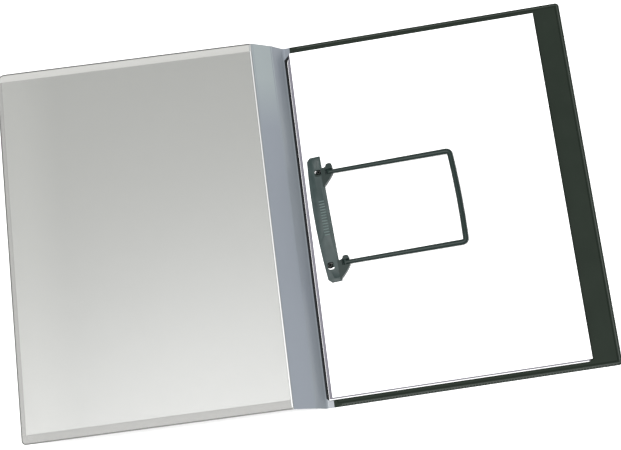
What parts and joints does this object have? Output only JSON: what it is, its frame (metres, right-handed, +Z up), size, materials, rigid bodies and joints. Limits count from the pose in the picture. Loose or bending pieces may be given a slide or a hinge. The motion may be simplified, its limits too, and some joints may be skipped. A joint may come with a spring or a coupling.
{
  "type": "clip file folder",
  "caption": "Clear-front A4 file folder lying open, with a dark boarded back cover, a post clip with a U-shaped bail and filed sheets.",
  "frame": {"origin": "on the table, under the middle of the back cover", "axes": "+X from the spine to the open edge of the back cover, +Y to the head of the sheets, +Z up"},
  "size_m": [0.477, 0.312, 0.0502],
  "materials": {
    "dark_skin": "satin",
    "board": "matte",
    "film": "satin",
    "title_paper": "matte",
    "sheet_paper": "matte",
    "clip_plastic": "satin",
    "rivet_steel": "satin"
  },
  "bodies": {
    "back_cover": {"back_outer_skin": "dark_skin", "back_board": "board", "back_inner_skin": "dark_skin", "hinge_flange_film": "film", "lower_sheaf": "sheet_paper", "middle_sheaf": "sheet_paper", "upper_sheaf": "sheet_paper", "top_sheet": "sheet_paper", "clip_base": "clip_plastic", "top_rivet": "rivet_steel", "top_rivet_washer": "rivet_steel", "bottom_rivet": "rivet_steel", "bottom_rivet_washer": "rivet_steel"},
    "spine": {"spine_film": "film"},
    "hinge_panel": {"hinge_panel_film": "film"},
    "front_cover": {"front_cover_film": "film", "pocket_film": "film"},
    "title_insert": {"title_sheet": "title_paper"},
    "clip_bar": {"compressor_bar": "clip_plastic"},
    "clip_bail": {"bail": "clip_plastic"}
  },
  "joints": [
    {"name": "spine_fold", "type": "hinge", "parent": "back_cover", "child": "spine", "pos_m": [-0.1225, 0, 0.00025], "axis": [0, 1, 0], "range_deg": [-4, 35.7]},
    {"name": "inner_crease", "type": "hinge", "parent": "spine", "child": "hinge_panel", "pos_m": [-0.13032, 0, 0.01113], "axis": [0, 1, 0], "range_deg": [-4, 101.4]},
    {"name": "front_ridge", "type": "hinge", "parent": "hinge_panel", "child": "front_cover", "pos_m": [-0.1457, 0, 0.02543], "axis": [0, 1, 0], "range_deg": [-4, 36.7]},
    {"name": "title_sheet_slide", "type": "slide", "parent": "front_cover", "child": "title_insert", "axis": [0, -1, 0], "range_m": [-0.06, 0]},
    {"name": "clip_lift", "type": "slide", "parent": "back_cover", "child": "clip_bar", "axis": [0, 0, -1], "range_m": [-0.012, 0]},
    {"name": "bail_swing", "type": "hinge", "parent": "clip_bar", "child": "clip_bail", "pos_m": [-0.09372, -0.0002, 0.00895], "axis": [-0.0523, 0.9986, 0], "range_deg": [-95, 0]}
  ]
}
